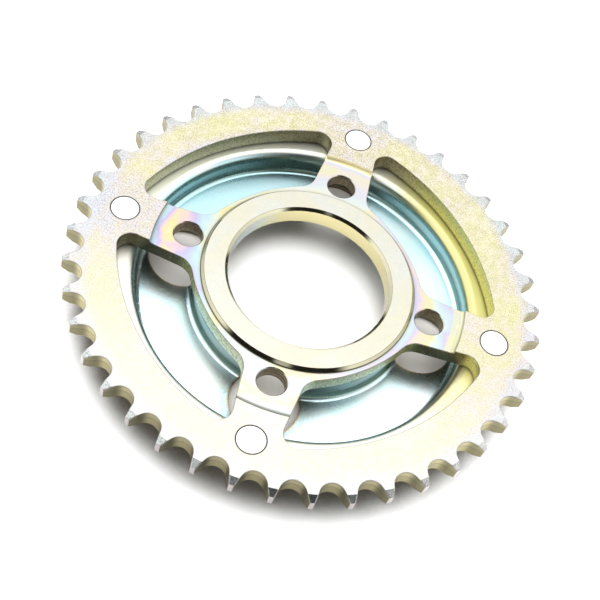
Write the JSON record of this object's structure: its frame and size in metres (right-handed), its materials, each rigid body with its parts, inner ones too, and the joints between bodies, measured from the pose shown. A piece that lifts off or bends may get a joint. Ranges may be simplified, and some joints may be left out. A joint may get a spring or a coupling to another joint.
{
  "type": "motorcycle rear sprocket",
  "caption": "Toothed steel plate with a turned hub ring, windowed arms, wheel bolt holes and a pressed dish cover riveted on behind.",
  "frame": {"origin": "centre of the hub bore on the plate's back face, which seats on the wheel", "axes": "+Z along the bore axis out of the plate's front face, +Y along one arm, through its bolt hole and rivet"},
  "size_m": [0.1707, 0.1707, 0.0176],
  "materials": {
    "plate_zinc": "satin, yellow-passivated zinc plate",
    "dish_zinc": "glossy, blue-white zinc plate",
    "rivet_steel": "satin, zinc plate"
  },
  "bodies": {
    "root": {"sprocket_plate": "plate_zinc", "dish_cover": "dish_zinc", "rivet_1": "rivet_steel", "rivet_2": "rivet_steel", "rivet_3": "rivet_steel", "rivet_4": "rivet_steel"}
  },
  "joints": []
}
